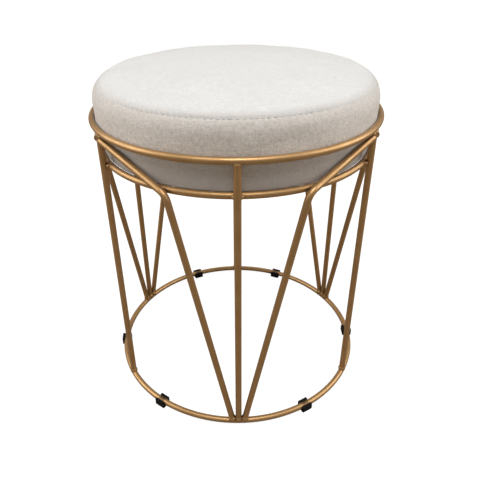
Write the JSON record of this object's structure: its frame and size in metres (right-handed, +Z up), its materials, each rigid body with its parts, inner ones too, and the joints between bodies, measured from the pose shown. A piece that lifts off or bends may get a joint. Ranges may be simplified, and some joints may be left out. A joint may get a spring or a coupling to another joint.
{
  "type": "wire-frame pouf",
  "caption": "Low round stool with a cage of bent round bar, a drop-in upholstered seat and clip-on glides under its base ring.",
  "frame": {"origin": "on the floor, at the middle of the base ring", "axes": "+Z up along the cage's axis; the front, with a three-bar foot in the middle, faces -Y; +X to the right seen from the front"},
  "size_m": [0.3738, 0.3704, 0.4393],
  "materials": {
    "gold_paint": "satin",
    "black_plastic": "matte",
    "seat_fabric": "matte",
    "foam": "matte",
    "board": "matte",
    "lining": "matte",
    "staple_wire": "satin"
  },
  "bodies": {
    "frame": {"base_ring": "gold_paint", "support_ring": "gold_paint", "top_ring": "gold_paint", "upright_1": "gold_paint", "upright_2": "gold_paint", "upright_3": "gold_paint", "upright_4": "gold_paint", "upright_5": "gold_paint", "upright_6": "gold_paint", "brace_1": "gold_paint", "brace_2": "gold_paint", "brace_3": "gold_paint", "brace_4": "gold_paint", "brace_5": "gold_paint", "brace_6": "gold_paint", "base_welds": "gold_paint", "support_welds": "gold_paint", "top_welds": "gold_paint", "glide_1": "black_plastic", "glide_2": "black_plastic", "glide_3": "black_plastic", "glide_4": "black_plastic", "glide_5": "black_plastic", "glide_6": "black_plastic"},
    "seat": {"seat_board": "board", "seat_foam": "foam", "cover_top": "seat_fabric", "cover_side": "seat_fabric", "seat_lining": "lining", "lining_staples": "staple_wire"}
  },
  "joints": [
    {"name": "seat_lift", "type": "slide", "parent": "frame", "child": "seat", "axis": [0, 0, 1], "range_m": [0, 0.1]}
  ]
}
